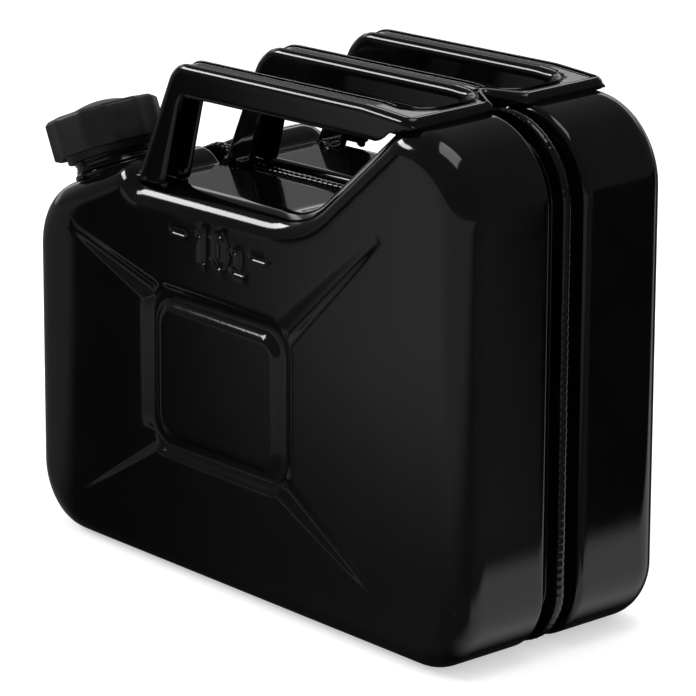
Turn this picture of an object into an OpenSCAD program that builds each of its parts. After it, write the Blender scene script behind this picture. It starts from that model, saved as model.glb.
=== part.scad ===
// Ten-litre steel fuel can, pressed in two halves and welded round the middle.
// Front to rear runs along X (the neck is at the front, -X), the two halves lie
// either side of Y = 0, and Z is up from the surface that the can stands on.

/* [Body] */
// Length of the can from front to rear
body_l = 345; // [325:1:375]
// Depth of the can over both halves
body_d = 142; // [130:1:160]
// Height of the hump that carries the rear of the handle
hump_h = 279; // [270:1:290]
// Height of the deck under the handle, at its front end
deck_h = 210.5; // [200:0.5:216]
// Rise of the deck from its front end to its rear end
deck_rise = 5; // [2:0.5:8]
// Thickness of the pressed sheet
sheet_t = 0.9; // [0.7:0.1:1.2]
// Radius between a big face and the rim
face_r = 15; // [10:0.5:16]
// Radius of the two bottom corners
bottom_r = 36; // [28:1:45]
// Radius of the rear top corner
rear_r = 44; // [34:1:48]
// Length of the hump, from the rear of the can to its front corner
hump_l = 54.5; // [52:0.5:60]
// Length of the slope from the hump down to the deck
slope_l = 72; // [66:1:80]
// Length of the shoulder that carries the neck
shoulder_l = 81.5; // [78:0.5:88]
// Height of the shoulder's top above the deck
knoll_rise = 9; // [7:0.5:11]
// Radius of the front corner under the shoulder
shoulder_r = 40; // [30:1:46]
// Slope of the shoulder, which is also the tilt of the neck
shoulder_tilt = 24.5; // [20:0.5:28]

/* [Seam] */
// Width of the groove that the seam lies in
groove_w = 24; // [20:0.5:28]
// Depth of the groove
groove_depth = 11; // [8:0.5:12.5]
// Radius of the groove's lips
lip_r = 3.5; // [2.5:0.5:5]
// Width of the weld bead along the seam
bead_w = 5.2; // [4:0.2:7]
// Height of the weld bead over the seam flanges
bead_h = 3; // [2:0.5:4]

/* [Pressed faces] */
// Length of the raised pad in the middle of a big face
pad_l = 90; // [76:1:98]
// Height of the raised pad
pad_h = 66; // [56:1:74]
// Middle of the pad, measured back from the front of the can
pad_from_front = 157; // [150:1:165]
// Middle of the pad, measured up from the base
pad_up = 113; // [106:1:120]
// Corner radius of the pad
pad_r = 9; // [6:1:14]
// Width of the channel round the pad
channel_w = 15.5; // [13:0.5:18]
// Depth of the channels
channel_depth = 3.6; // [2:0.2:4]
// Width of each sloping side of a channel
channel_slope = 5.5; // [4:0.5:6.5]

/* [Handle] */
// Distance between the middles of two neighbouring bars
bar_pitch = 59; // [54:1:62]
// Width of each bar
bar_w = 15; // [13:0.5:18]
// Height of the bars' front end above the deck
grip_h = 67.5; // [62:0.5:72]
// Rise of the bars from front to rear
grip_rise = 6.5; // [4:0.5:9]
// Depth of the flanges along the bars
flange_h = 15.5; // [12:0.5:18]
// Thickness of the handle's sheet
handle_t = 1.2; // [1:0.1:1.6]
// Height of the plate's turned-down rear lip
lip_h = 4.5; // [3.5:0.5:6]
// Distance from the front of the can to the bars' front corner
bar_from_front = 121; // [116:1:126]
// Radius of the bend at the front of the bars
bend_r = 20; // [14:1:24]
// Slope of the legs, measured from level
leg_slope = 65.5; // [60:0.5:75]
// Length of the notch in the plate's rear end
notch_l = 20.5; // [16:0.5:24]

/* [Neck and cap] */
// Distance of the neck from the middle of the can, towards the near half
neck_off = 38.5; // [36:0.5:42]
// Distance along the shoulder from its top to the middle of the neck
neck_down = 48.5; // [44:0.5:52]
// Radius of the neck's bore
neck_bore_r = 18.5; // [16:0.5:19.5]
// Outer radius of the neck
neck_r = 21.6; // [20.5:0.1:22.4]
// Height of the neck above the shoulder
neck_h = 29.5; // [26:0.5:34]
// Radius of the cap over its corners
cap_r = 31.5; // [29:0.5:32.5]
// Height of the cap's grip
cap_h = 22; // [18:0.5:25]
// Number of flats round the cap
cap_flats = 12; // [8:1:12]
// Thickness of the cap's walls
cap_wall = 2.6; // [2:0.2:3.2]
// How far the cap's inner sleeve stands out below its grip
sleeve_out = 3.5; // [2:0.5:5]
// Thickness of the gasket in the cap
gasket_t = 2; // [1.5:0.5:3]
// Clearance between the neck and the cap's sleeve
cap_clear = 0.35; // [0.3:0.05:0.5]

/* [Hidden] */
front_x = -body_l / 2;
rear_x = body_l / 2;
face_y = body_d / 2;
half_groove = groove_w / 2;
groove_lean = 1.5;

// Corners of the can's side view: place, radius, and 1 for a corner that points out
hump_x = rear_x - hump_l;
knoll_x = front_x + shoulder_l;
knoll_h = deck_h + knoll_rise;
knoll_r = 17;
step_l = 11;
step_r = 6;
dip_r = 60;
hump_r = 24;
CORNERS = [
    [[front_x, 0], bottom_r, 1],
    [[rear_x, 0], bottom_r, 1],
    [[rear_x, hump_h], rear_r, 1],
    [[hump_x, hump_h], hump_r, 1],
    [[hump_x - slope_l, deck_h + deck_rise], dip_r, -1],
    [[knoll_x + step_l, deck_h], step_r, -1],
    [[knoll_x, knoll_h], knoll_r, 1],
    [[front_x, knoll_h - shoulder_l * tan(shoulder_tilt)], shoulder_r, 1],
];
arc_step = 10;

function unit(v) = v / norm(v);
function heading(v) = atan2(v[1], v[0]);

// Points of one rounded corner, pushed in from the outline by inset
function corner_points(before, corner, after, inset) =
    let(
        p = corner[0],
        to_before = unit(before[0] - p),
        to_after = unit(after[0] - p),
        opening = acos(to_before * to_after),
        centre = p + unit(to_before + to_after) * corner[1] / sin(opening / 2),
        first = p + to_before * corner[1] / tan(opening / 2),
        start = heading(first - centre),
        turn = corner[2] * (180 - opening),
        count = ceil(abs(turn) / arc_step - 0.01),
        radius = corner[1] - corner[2] * inset
    )
    [for (k = [0:count]) centre + radius * [cos(start + turn * k / count), sin(start + turn * k / count)]];

function rounded(corners, inset) =
    let(n = len(corners))
    [for (i = [0:n - 1]) each corner_points(corners[(i + n - 1) % n], corners[i], corners[(i + 1) % n], inset)];

function outline(inset) = rounded(CORNERS, inset);

// Outline of a rectangle with round corners, on the plane of a big face
function round_box(half_l, half_h, r, mid) = rounded([
    [mid + [-half_l, -half_h], r, 1],
    [mid + [half_l, -half_h], r, 1],
    [mid + [half_l, half_h], r, 1],
    [mid + [-half_l, half_h], r, 1],
], 0);

// Steps of the round edges, as angles from the flat face
EDGE_STEPS = [0, 15, 30, 45, 60, 75, 90];
LIP_STEPS = [0, 30, 60, 90];

// Section of a pressed half, from its big face to the seam, as [inset, Y]
function edge_section(r, wall) =
    [for (a = EDGE_STEPS) [wall + r * (1 - sin(a)), -face_y + wall + r * (1 - cos(a))]];
function lip_section(r, wall) =
    [for (a = LIP_STEPS) [wall + r * (1 - cos(a)), -half_groove - wall - r * (1 - sin(a))]];
OUTER = concat(edge_section(face_r, 0), lip_section(lip_r, 0), [
    [groove_depth, -half_groove + groove_lean],
    [groove_depth, -sheet_t],
    [bead_h, -sheet_t],
    [bead_h, 0],
]);
INNER = concat(edge_section(face_r - sheet_t, sheet_t), lip_section(lip_r - sheet_t, sheet_t), [
    [groove_depth + sheet_t, -half_groove + groove_lean - sheet_t],
    [groove_depth + sheet_t, 0],
]);

// Channels of a big face: a ring round the pad and one arm to each corner
pad_mid = [front_x + pad_from_front, pad_up];
ring_mid = [pad_l + channel_w, pad_h + channel_w] / 2;
arm_end_w = 5;
arm_end_depth = 0.4;
ARMS = [
    [[-1, -1], [front_x + 40, 28]],
    [[1, -1], [rear_x - 64, 34]],
    [[1, 1], [rear_x - 63, deck_h + 6]],
    [[-1, 1], [front_x + 40, knoll_h - 43]],
];
lean = channel_slope / channel_depth;

// How far a channel's side stands from its edge on the face, at a depth below the face
function side_run(depth, grow) = lean * (depth - grow) - 0.3 * grow;

// Where the line from p to q comes to a level of one of its two coordinates
function meet(p, q, axis, level) = p + (q - p) * (level - p[axis]) / (q[axis] - p[axis]);

// Outline of ring and arms at a depth: out along one side of each arm, back along the other
function star(depth, grow, arm_depth) = [for (k = [0:3])
    let(
        corner = ARMS[k][0],
        from = pad_mid + [corner[0] * ring_mid[0], corner[1] * ring_mid[1]],
        to = ARMS[k][1],
        along = unit(to - from),
        across = [-along[1], along[0]],
        run = side_run(depth, grow),
        wide = channel_w / 2 - run,
        thin = arm_end_w / 2 - run,
        end = arm_end_w / 2 - side_run(arm_depth, grow),
        rim = [for (i = [0, 1]) pad_mid[i] + corner[i] * (ring_mid[i] + wide)],
        inward = k % 2
    )
    each [
        meet(from - across * wide, to - across * thin, inward, rim[inward]),
        to - across * end,
        to + across * end,
        meet(from + across * wide, to + across * thin, 1 - inward, rim[1 - inward]),
    ]];

// Outline of the pad at a depth
function pad_outline(depth, grow) =
    let(spread = side_run(depth, grow))
    round_box(pad_l / 2 + spread, pad_h / 2 + spread, pad_r + spread, pad_mid);

// Number of the loop's point that lies nearest to p
function nearest(loop, p) = let(gaps = [for (q = loop) norm(q - p)]) search(min(gaps), gaps)[0];

function run_up(from, to, n, first) = [for (i = [from:to]) first + i % n];
function reversed(v) = [for (i = [len(v) - 1:-1:0]) v[i]];
function is_ring(i) = i % 4 == 0 || i % 4 == 3;

// Points of one skin of a pressed half: the rim's sections, then the arms and ring and
// the pad, each as a high and a low outline; grow is its distance from the outer skin
function skin_points(section, grow) =
    let(
        low = channel_depth + grow,
        star_low = star(low, grow, arm_end_depth + grow)
    )
    concat(
        [for (s = section) for (q = outline(s[0])) [q[0], s[1], q[1]]],
        [for (q = star(grow, grow, grow)) [q[0], -face_y + grow, q[1]]],
        [for (i = [0:15]) [star_low[i][0], -face_y + grow + (is_ring(i) ? channel_depth : arm_end_depth),
            star_low[i][1]]],
        [for (q = pad_outline(grow, grow)) [q[0], -face_y + grow, q[1]]],
        [for (q = pad_outline(low, grow)) [q[0], -face_y + low, q[1]]]);

// Faces of that skin, numbered from start: rim, flat field, channel walls and floors, pad
function skin_faces(section, grow, start) =
    let(
        rim = outline(section[0][0]),
        n = len(rim),
        m = len(pad_outline(grow, grow)),
        quarter = m / 4,
        mid = floor(quarter / 2),
        high = start + n * len(section),
        deep = high + 16,
        top = deep + 16,
        foot = top + m,
        star_high = star(grow, grow, grow),
        tips = [for (k = [0:3]) nearest(rim, star_high[4 * k + 2])]
    )
    concat(
        [for (j = [0:len(section) - 2]) for (i = [0:n - 1])
            let(a = start + j * n + i, b = start + j * n + (i + 1) % n)
            [a, b, b + n, a + n]],
        [for (k = [0:3])
            let(next = (k + 1) % 4, stop = tips[next] + (next == 0 ? n : 0))
            reversed(concat(run_up(tips[k], stop, n, start), [
                high + 4 * next + 2, high + 4 * next + 1, high + 4 * next, high + 4 * k + 3, high + 4 * k + 2]))],
        [for (i = [0:15]) let(k = (i + 1) % 16) [i + deep, k + deep, k + high, i + high]],
        [for (k = [0:3]) let(i = deep + 4 * k) each [[i + 2, i + 1, i], [i + 3, i + 2, i]]],
        [for (k = [0:3])
            let(next = (k + 1) % 4)
            concat(run_up(quarter * k + mid, quarter * (k + 1) + mid, m, foot),
                [deep + 4 * next + 3, deep + 4 * next, deep + 4 * k + 3])],
        [for (j = [0:m - 1]) let(i = (j + 1) % m) [foot + i, foot + j, top + j, top + i]],
        [[for (j = [m - 1:-1:0]) top + j]]);

// Frame at the foot of the neck: Z runs up the neck
neck_x = knoll_x - neck_down * cos(shoulder_tilt);
neck_z = knoll_h - neck_down * sin(shoulder_tilt);
module on_neck() {
    translate([neck_x, -neck_off, neck_z]) rotate([0, -shoulder_tilt, 0]) children();
}

// Both skins as one solid, closed by the narrow face that meets the other half
module pressed_half() {
    outer = skin_points(OUTER, 0);
    n = len(outline(0));
    out_edge = n * (len(OUTER) - 1);
    in_edge = len(outer) + n * (len(INNER) - 1);
    polyhedron(concat(outer, skin_points(INNER, sheet_t)), concat(
        skin_faces(OUTER, 0, 0),
        [for (face = skin_faces(INNER, sheet_t, len(outer))) reversed(face)],
        [for (i = [0:n - 1]) let(k = (i + 1) % n) [out_edge + i, out_edge + k, in_edge + k, in_edge + i]]));
}

module near_shell() {
    color([0.03, 0.03, 0.035]) difference() {
        pressed_half();
        on_neck() translate([0, 0, -20]) cylinder(h = 40, r = spigot_r, $fn = 96);
    }
}

module far_shell() {
    color([0.03, 0.03, 0.035]) mirror([0, 1, 0]) pressed_half();
}

// Weld bead over the edges of the two seam flanges, all round the can
BEAD = [[0, -0.25], [0, 0.25], [0.35, 0.42], [0.6, 0.5], [1, 0.42], [1, -0.42], [0.6, -0.5], [0.35, -0.42]];
module seam_weld() {
    n = len(outline(0));
    sides = len(BEAD);
    points = [for (b = BEAD) for (q = outline(b[0] * bead_h)) [q[0], b[1] * bead_w, q[1]]];
    color([0.02, 0.02, 0.022]) polyhedron(points, [
        for (j = [0:sides - 1]) for (i = [0:n - 1])
            let(a = j * n + i, b = j * n + (i + 1) % n,
                c = ((j + 1) % sides) * n + i, d = ((j + 1) % sides) * n + (i + 1) % n)
            [a, b, d, c]]);
}

// Side view of the handle: up the leg, round the bend and back to the plate's end
foot_z = deck_h - 20;
bar_x = front_x + bar_from_front;
bar_z = deck_h + grip_h;
crest_x = hump_x - 23;
crest_z = bar_z + grip_rise;
plate_x = rear_x - rear_r + 0.5;
plate_z = hump_h + lip_h;
foot_x = bar_x - (bar_z - foot_z) / tan(leg_slope);
far_below = [plate_x, foot_z];
function handle_side(inset) = rounded([
    [[foot_x, foot_z], 0.01 + inset, 1],
    [far_below, 0.01 + inset, 1],
    [[plate_x, plate_z], 3, 1],
    [[crest_x, crest_z], 60, 1],
    [[bar_x, bar_z], bend_r, 1],
], inset);

// Space under the bars and behind the legs
leg_top_l = 13;
leg_foot_l = 23;
under_z = -flange_h;
function grip_space() = rounded([
    [[bar_x - (bar_z - deck_h) / tan(leg_slope) + leg_foot_l, deck_h], 0.01, 1],
    [[far_below[0] - 0.1, deck_h], 0.01, 1],
    [[far_below[0] - 0.1, crest_z + under_z], 0.01, 1],
    [[crest_x, crest_z + under_z], 60, 1],
    [[bar_x - flange_h / tan(leg_slope) + leg_top_l, bar_z + under_z], 6, 1],
], 0);

slot_r = 15;
slot_rear_x = plate_x - 11.5;
handle_w = 2 * bar_pitch + bar_w;

// Notch over the seam in the plate's rear end, grown by inset
notch_angle = 30;
module notch(inset) {
    beyond = 5;
    l = notch_l + inset / sin(notch_angle);
    w = (l + beyond) * tan(notch_angle);
    polygon([[plate_x - l, 0], [plate_x + beyond, -w], [plate_x + beyond, w]]);
}

module handle_plan(inset) {
    slot_w = bar_pitch - bar_w + 2 * inset;
    difference() {
        translate([foot_x - 5, -handle_w / 2 + inset])
            square([plate_x - foot_x + 5 - inset, handle_w - 2 * inset]);
        for (side = [-1, 1]) translate([0, side * bar_pitch / 2]) {
            translate([foot_x - 10, -slot_w / 2])
                square([slot_rear_x + inset - slot_r - foot_x + 10, slot_w]);
            translate([slot_rear_x + inset - slot_r - 1, -slot_w / 2 + slot_r])
                square([slot_r + 1, slot_w - 2 * slot_r]);
            for (s = [-1, 1]) translate([slot_rear_x + inset - slot_r, s * (slot_w / 2 - slot_r)])
                circle(slot_r, $fn = 48);
        }
        notch(inset);
    }
}

module side_slab(points) {
    translate([0, body_d, 0]) rotate([90, 0, 0]) linear_extrude(2 * body_d) polygon(points);
}

module handle() {
    color([0.05, 0.05, 0.055]) difference() {
        intersection() {
            side_slab(handle_side(0));
            translate([0, 0, foot_z - 1]) linear_extrude(crest_z - foot_z + 20) handle_plan(0);
        }
        intersection() {
            side_slab(handle_side(handle_t));
            translate([0, 0, foot_z - 2]) linear_extrude(crest_z - foot_z + 22) handle_plan(handle_t);
        }
        side_slab(grip_space());
        side_slab(outline(0));
    }
}

// Neck: a turned-over tube with a collar that stands on the shoulder
collar_r = neck_r + 1.2;
collar_h = 2.2;
spigot_r = neck_bore_r + 1.2;
spigot_l = 2.5;
module filler_neck() {
    color([0.03, 0.03, 0.035]) on_neck() difference() {
        union() {
            cylinder(h = neck_h, r = neck_r, $fn = 96);
            cylinder(h = collar_h, r = collar_r, $fn = 96);
            translate([0, 0, -spigot_l]) cylinder(h = spigot_l + 1, r = spigot_r, $fn = 96);
        }
        translate([0, 0, -spigot_l - 1]) cylinder(h = neck_h + spigot_l + 2, r = neck_bore_r, $fn = 96);
    }
}

// Gasket over the rim of the neck, and the cap that holds it down
gasket_z = neck_h + 0.3;
cap_under = gasket_z + gasket_t;
cap_top = cap_under + cap_wall;
grip_z = cap_top - cap_h;
sleeve_in = neck_r + cap_clear;
sleeve_r = sleeve_in + cap_wall;
module cap_gasket() {
    color([0.1, 0.1, 0.1]) on_neck() translate([0, 0, gasket_z]) difference() {
        cylinder(h = gasket_t, r = neck_r, $fn = 96);
        translate([0, 0, -1]) cylinder(h = gasket_t + 2, r = neck_bore_r - 2, $fn = 96);
    }
}

dome_h = 4;
dome_base_r = 17;
dome_r = (dome_base_r * dome_base_r + dome_h * dome_h) / (2 * dome_h);
rim_chamfer = 1.6;
module cap() {
    color([0.14, 0.14, 0.145]) on_neck() {
        difference() {
            union() {
                translate([0, 0, grip_z]) cylinder(h = cap_h - rim_chamfer, r = cap_r, $fn = cap_flats);
                translate([0, 0, cap_top - rim_chamfer])
                    cylinder(h = rim_chamfer, r1 = cap_r * cos(180 / cap_flats), r2 = cap_r * cos(180 / cap_flats)
                        - rim_chamfer, $fn = 96);
            }
            translate([0, 0, grip_z - 1])
                cylinder(h = cap_under - grip_z + 1, r = cap_r * cos(180 / cap_flats) - cap_wall, $fn = 96);
        }
        difference() {
            translate([0, 0, grip_z - sleeve_out]) cylinder(h = cap_under - grip_z + sleeve_out + 0.5, r = sleeve_r,
                $fn = 96);
            translate([0, 0, grip_z - sleeve_out - 1])
                cylinder(h = cap_under - grip_z + sleeve_out + 1, r = sleeve_in, $fn = 96);
        }
        intersection() {
            translate([0, 0, cap_top - 0.5]) cylinder(h = dome_h + 1, r = dome_base_r, $fn = 96);
            translate([0, 0, cap_top + dome_h - dome_r]) sphere(dome_r, $fn = 128);
        }
    }
}

near_shell();
far_shell();
seam_weld();
handle();
filler_neck();
cap_gasket();
cap();
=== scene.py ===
"""Steel fuel can: pressed halves, weld seam, carrying handle, threaded neck and screw cap."""

import math

import bmesh
import bpy
import numpy as np
from mathutils import Matrix, Vector, noise
from mathutils.geometry import delaunay_2d_cdt


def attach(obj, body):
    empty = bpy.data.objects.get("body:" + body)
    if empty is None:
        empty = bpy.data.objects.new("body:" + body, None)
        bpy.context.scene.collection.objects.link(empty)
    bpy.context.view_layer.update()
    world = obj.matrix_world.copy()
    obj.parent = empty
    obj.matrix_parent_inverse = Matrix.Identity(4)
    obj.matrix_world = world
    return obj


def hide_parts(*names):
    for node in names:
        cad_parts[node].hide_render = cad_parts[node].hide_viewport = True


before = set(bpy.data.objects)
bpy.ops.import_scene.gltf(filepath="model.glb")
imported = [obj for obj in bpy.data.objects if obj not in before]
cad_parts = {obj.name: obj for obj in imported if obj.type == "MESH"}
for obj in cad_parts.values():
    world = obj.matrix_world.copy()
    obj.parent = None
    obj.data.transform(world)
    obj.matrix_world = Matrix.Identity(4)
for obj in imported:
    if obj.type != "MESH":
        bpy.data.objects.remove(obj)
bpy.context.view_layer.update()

bl_info = {
    "name": "Steel fuel can",
    "version": (1, 0, 0),
    "blender": (4, 5, 0),
    "location": "View3D > Sidebar > Fuel can",
    "description": "Builds the skins, handle, seam, neck, cap and finishes of a pressed steel fuel can",
    "category": "Object",
}

MM = 0.001

# Sizes in millimetres, the same as those of the solids
FRONT, REAR = -172.5, 172.5
FACE_Y = 71.0
FACE_R = 15.0
DECK, DECK_RISE, HUMP = 210.5, 5.0, 279.0
SHOULDER_L = 81.5
KNOLL_X, KNOLL = FRONT + SHOULDER_L, 219.5
TILT = math.radians(24.5)
SHEET = 0.9
GROOVE_HALF, GROOVE_DEPTH, LIP_R = 12.0, 11.0, 3.5
BEAD_W, BEAD_H = 5.2, 3.0
# Side view of the can: x, z and radius of each corner
CAN_CORNERS = [
    (FRONT, 0, 36), (REAR, 0, 36), (REAR, HUMP, 44), (118, HUMP, 24), (46, DECK + DECK_RISE, 60),
    (KNOLL_X + 11, DECK, 6), (KNOLL_X, KNOLL, 17), (FRONT, KNOLL - SHOULDER_L * math.tan(TILT), 40),
]

# The pad, the channel round it and the four arms, which thin out towards their ends
PAD_MID = (-15.5, 113.0)
PAD_HALF = (45.0, 33.0)
PAD_R, CHANNEL_W, CHANNEL_SLOPE = 9.0, 15.5, 5.5
ARM_ENDS = [((-1, -1), (-134, 26)), ((1, -1), (108, 33)), ((1, 1), (110, 220)), ((-1, 1), (-134, 174))]
ARM_END_W, ARM_END_DEPTH = 5.0, 0.4
FIGURE_X, FIGURE_Z, FIGURE_H, STROKE = -5.5, 177.5, 20.0, 2.8
FIGURE_BOX = ((-56, 173), (30, 201))
# Spacing of a big face's points: on plain sheet, at the channels and at the figures
COARSE_GRID, FINE_GRID, FIGURE_GRID = 4.5, 1.25, 0.6
# Slow waves: their two lengths, the distances from the seam where they start and are full, and
# their seeds for the near and the far half
WAVE_LENGTHS, WAVE_REACH, WAVE_SEEDS = (70, 80), (40, 68), {-1: 3.7, 1: 9.1}
# Length, from where the roll starts, over which a big face falls back by front_roll
ROLL_LENGTH = 32

PLATE_END, PLATE_Z = 129.0, 283.5
CREST, CREST_R = (95.0, 284.5), 60
BAR_FRONT, BAR_Z = -51.5, 278.0
LEG_SLOPE = math.radians(65.5)
BAR_W, BAR_PITCH, SLOT_R = 15.0, 59.0, 15.0
SLOT_END, NOTCH_L, NOTCH_HALF = 11.5, 20.5, 12.0
HANDLE_SHEET = 1.2
# Height inside the can at which a leg's line ends, how far along a bar the search for its foot
# starts, and how far the foot sinks into the deck
LEG_LOW, FOOT_SEARCH, FOOT_SINK = 190, 150, 0.6
# Depths at which the end of a turned-down edge is looked for, and the depth if none is found
EDGE_TRIES, EDGE_MOST = (0.4, 34, 0.3), 30.0
# Place that the handle's top looks towards
ABOVE_HANDLE = (0, 0, 400)
# Space for the hand: its ceiling below the bars' tops, and how far its front edge stands behind
# the legs' line at the deck and at the ceiling
GRIP_UNDER, GRIP_BACK_LOW, GRIP_BACK_HIGH, GRIP_R = 15.5, 23, 13, 6
# Radius of a corner that stays sharp
SHARP = 0.1
# How far each bar's front stands back from the named place, and the radius of its bend
BARS = {"near": (-1.5, 15), "middle": (0.0, 24), "far": (6.0, 24)}

NECK_FOOT = (-135.13, -38.5, 199.39)
NECK_R, NECK_BORE, NECK_H = 21.6, 18.5, 29.5
# Wall of the neck where it passes through the sheet
SPIGOT_WALL = 1.2
# Where the thread ends above the neck's foot, and the spacing of its rows of points
THREAD_LOW, THREAD_STEP = 5.0, 0.35
CAP_UNDER, CAP_TOP, CAP_R, CAP_H, CAP_FLATS = 31.8, 34.4, 31.5, 22.0, 12
SLEEVE_IN, SLEEVE_R, SLEEVE_OUT, CAP_WALL = 21.95, 24.55, 3.5, 2.6


# Outlines in a plane

def unit(v):
    return v / np.linalg.norm(v)


def left_of(v):
    return np.array([-v[1], v[0]])


def turn_between(before, after):
    """Angle from one heading to the next, above zero to the left."""
    return math.atan2(before[0] * after[1] - before[1] * after[0], before @ after)


def arc_points(start, centre, turn, steps):
    """Points from start along an arc about centre."""
    first = start - centre
    made = []
    for k in range(steps + 1):
        a = turn * k / steps
        made.append(centre + np.array([first[0] * math.cos(a) - first[1] * math.sin(a),
                                       first[0] * math.sin(a) + first[1] * math.cos(a)]))
    return made


class Outline:
    """Closed outline with rounded corners, whose loops keep their number of points at any inset."""

    def __init__(self, corners, arc_step=4.0, edge_step=5.0):
        self.points = [np.array(c[:2], float) for c in corners]
        self.radii = [c[2] for c in corners]
        count = len(corners)
        self.headings = [unit(self.points[(i + 1) % count] - self.points[i]) for i in range(count)]
        self.turns, self.arcs = [], []
        for i in range(count):
            turn = turn_between(self.headings[i - 1], self.headings[i])
            self.turns.append(turn)
            self.arcs.append(max(1, math.ceil(abs(math.degrees(turn)) / arc_step - 0.01)))
        arcs = [self.arc(i, 0) for i in range(count)]
        self.edges = [max(1, math.ceil(np.linalg.norm(arcs[(i + 1) % count][0] - arcs[i][-1]) / edge_step))
                      for i in range(count)]

    def arc(self, i, inset):
        before, after = self.headings[i - 1], self.headings[i]
        n1, n2 = left_of(before), left_of(after)
        corner = self.points[i] + (n1 + n2) * inset / (1 + n1 @ n2)
        way = 1 if self.turns[i] > 0 else -1
        radius = max(self.radii[i] - way * inset, 0.02)
        start = corner - before * radius * math.tan(abs(self.turns[i]) / 2)
        return arc_points(start, start + n1 * way * radius, self.turns[i], self.arcs[i])

    def loop(self, inset):
        count = len(self.points)
        arcs = [self.arc(i, inset) for i in range(count)]
        made = []
        for i in range(count):
            made += arcs[i]
            a, b = arcs[i][-1], arcs[(i + 1) % count][0]
            made += [a + (b - a) * k / self.edges[i] for k in range(1, self.edges[i])]
        return np.array(made)


def open_path(points, arc_step=10.0, edge_step=2.6):
    """Points along an open line whose corners (x, y, radius) are rounded."""
    corners = [np.array(p[:2], float) for p in points]
    made = [corners[0]]
    for i in range(1, len(points)):
        if i == len(points) - 1:
            stop = [corners[i]]
        else:
            before, after = unit(corners[i] - corners[i - 1]), unit(corners[i + 1] - corners[i])
            turn = turn_between(before, after)
            way, radius = (1 if turn > 0 else -1), points[i][2]
            start = corners[i] - before * radius * math.tan(abs(turn) / 2)
            steps = max(1, math.ceil(abs(math.degrees(turn)) / arc_step))
            stop = arc_points(start, start + left_of(before) * way * radius, turn, steps)
        gap = stop[0] - made[-1]
        parts = max(1, math.ceil(np.linalg.norm(gap) / edge_step))
        made += [made[-1] + gap * k / parts for k in range(1, parts)]
        made += stop
    return made


def inside(points, loop):
    """True for each point within a closed loop."""
    x, y = points[:, 0:1], points[:, 1:2]
    a, b = loop, np.roll(loop, -1, axis=0)
    crosses = (a[:, 1] > y) != (b[:, 1] > y)
    with np.errstate(divide="ignore", invalid="ignore"):
        at = (b[:, 0] - a[:, 0]) * (y - a[:, 1]) / (b[:, 1] - a[:, 1]) + a[:, 0]
    return (crosses & (x < at)).sum(axis=1) % 2 == 1


def gap_to(points, loop):
    """Distance from each point to the nearest place on a closed loop."""
    a, b = loop, np.roll(loop, -1, axis=0)
    ab = b - a
    t = ((points[:, None, :] - a) * ab).sum(axis=2) / np.maximum((ab * ab).sum(axis=1), 1e-9)
    near = a + np.clip(t, 0, 1)[:, :, None] * ab
    return np.linalg.norm(points[:, None, :] - near, axis=2).min(axis=1)


def grid(low, high, step):
    """Points of a square grid between two corners."""
    xs, ys = np.arange(low[0], high[0], step), np.arange(low[1], high[1], step)
    return np.array(np.meshgrid(xs, ys)).reshape(2, -1).T


def fill(loop, extra):
    """Triangles that fill a closed loop and use the extra points, numbered loop first."""
    points = [Vector(p) for p in loop] + [Vector(p) for p in extra]
    ring = list(range(len(loop)))
    made = delaunay_2d_cdt(points, [], [ring], 1, 1e-5)
    first = [ids[0] if ids else -1 for ids in made[3]]
    if -1 in first:
        raise RuntimeError("a fill made a point of its own")
    return [tuple(first[v] for v in face) for face in made[2]]


def smooth_step(low, high, value):
    t = np.clip((value - low) / (high - low), 0, 1)
    return t * t * (3 - 2 * t)


def smooth_least(a, b, soft):
    h = np.clip(0.5 + 0.5 * (b - a) / soft, 0, 1)
    return b + (a - b) * h - soft * h * (1 - h)


def smooth_most(a, b, soft):
    return -smooth_least(-a, -b, soft)


def to_box(points, mid, half, radius):
    """Signed distance from each point to a rectangle with round corners."""
    q = np.abs(points - np.array(mid)) - (np.array(half) - radius)
    return np.linalg.norm(np.maximum(q, 0), axis=1) + np.minimum(q.max(axis=1), 0) - radius


# Objects

def smooth_faces(mesh):
    mesh.polygons.foreach_set("use_smooth", [True] * len(mesh.polygons))


def new_object(name, points, faces, body, stands_for=()):
    mesh = bpy.data.meshes.new(name)
    mesh.from_pydata([tuple(float(c) * MM for c in p) for p in points], [], [tuple(f) for f in faces])
    mesh.validate()
    mesh.update()
    smooth_faces(mesh)
    made = bpy.data.objects.new(name, mesh)
    bpy.context.scene.collection.objects.link(made)
    if body:
        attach(made, body)
    if stands_for:
        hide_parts(*stands_for)
    return made


def thicken(made, thickness):
    """Gives a skin the thickness of its sheet, on the side away from its normals."""
    solid = made.modifiers.new("sheet", "SOLIDIFY")
    solid.thickness = thickness * MM
    solid.offset = -1
    return made


def band(rows, count):
    """Quads between neighbouring rings of count points each."""
    made = []
    for j in range(rows - 1):
        low, high = j * count, (j + 1) * count
        made += [(low + i, low + (i + 1) % count, high + (i + 1) % count, high + i) for i in range(count)]
    return made


def flipped(faces):
    """The same faces, looking the other way."""
    return [tuple(reversed(f)) for f in faces]


# Pressed halves

def along_arms(points):
    """For each arm of the channels: the points' places along and across it, its length, their
    share of that length, and half its width there."""
    mid, half = np.array(PAD_MID), np.array(PAD_HALF)
    for (sx, sz), end in ARM_ENDS:
        start = mid + (half + CHANNEL_W / 2) * [sx, sz]
        run = np.array(end, float) - start
        length = np.linalg.norm(run)
        along = (points - start) @ run / length
        across = np.abs((points - start) @ left_of(run / length))
        t = np.clip(along / length, 0, 1)
        yield along, across, length, t, (CHANNEL_W + (ARM_END_W - CHANNEL_W) * t) / 2


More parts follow.
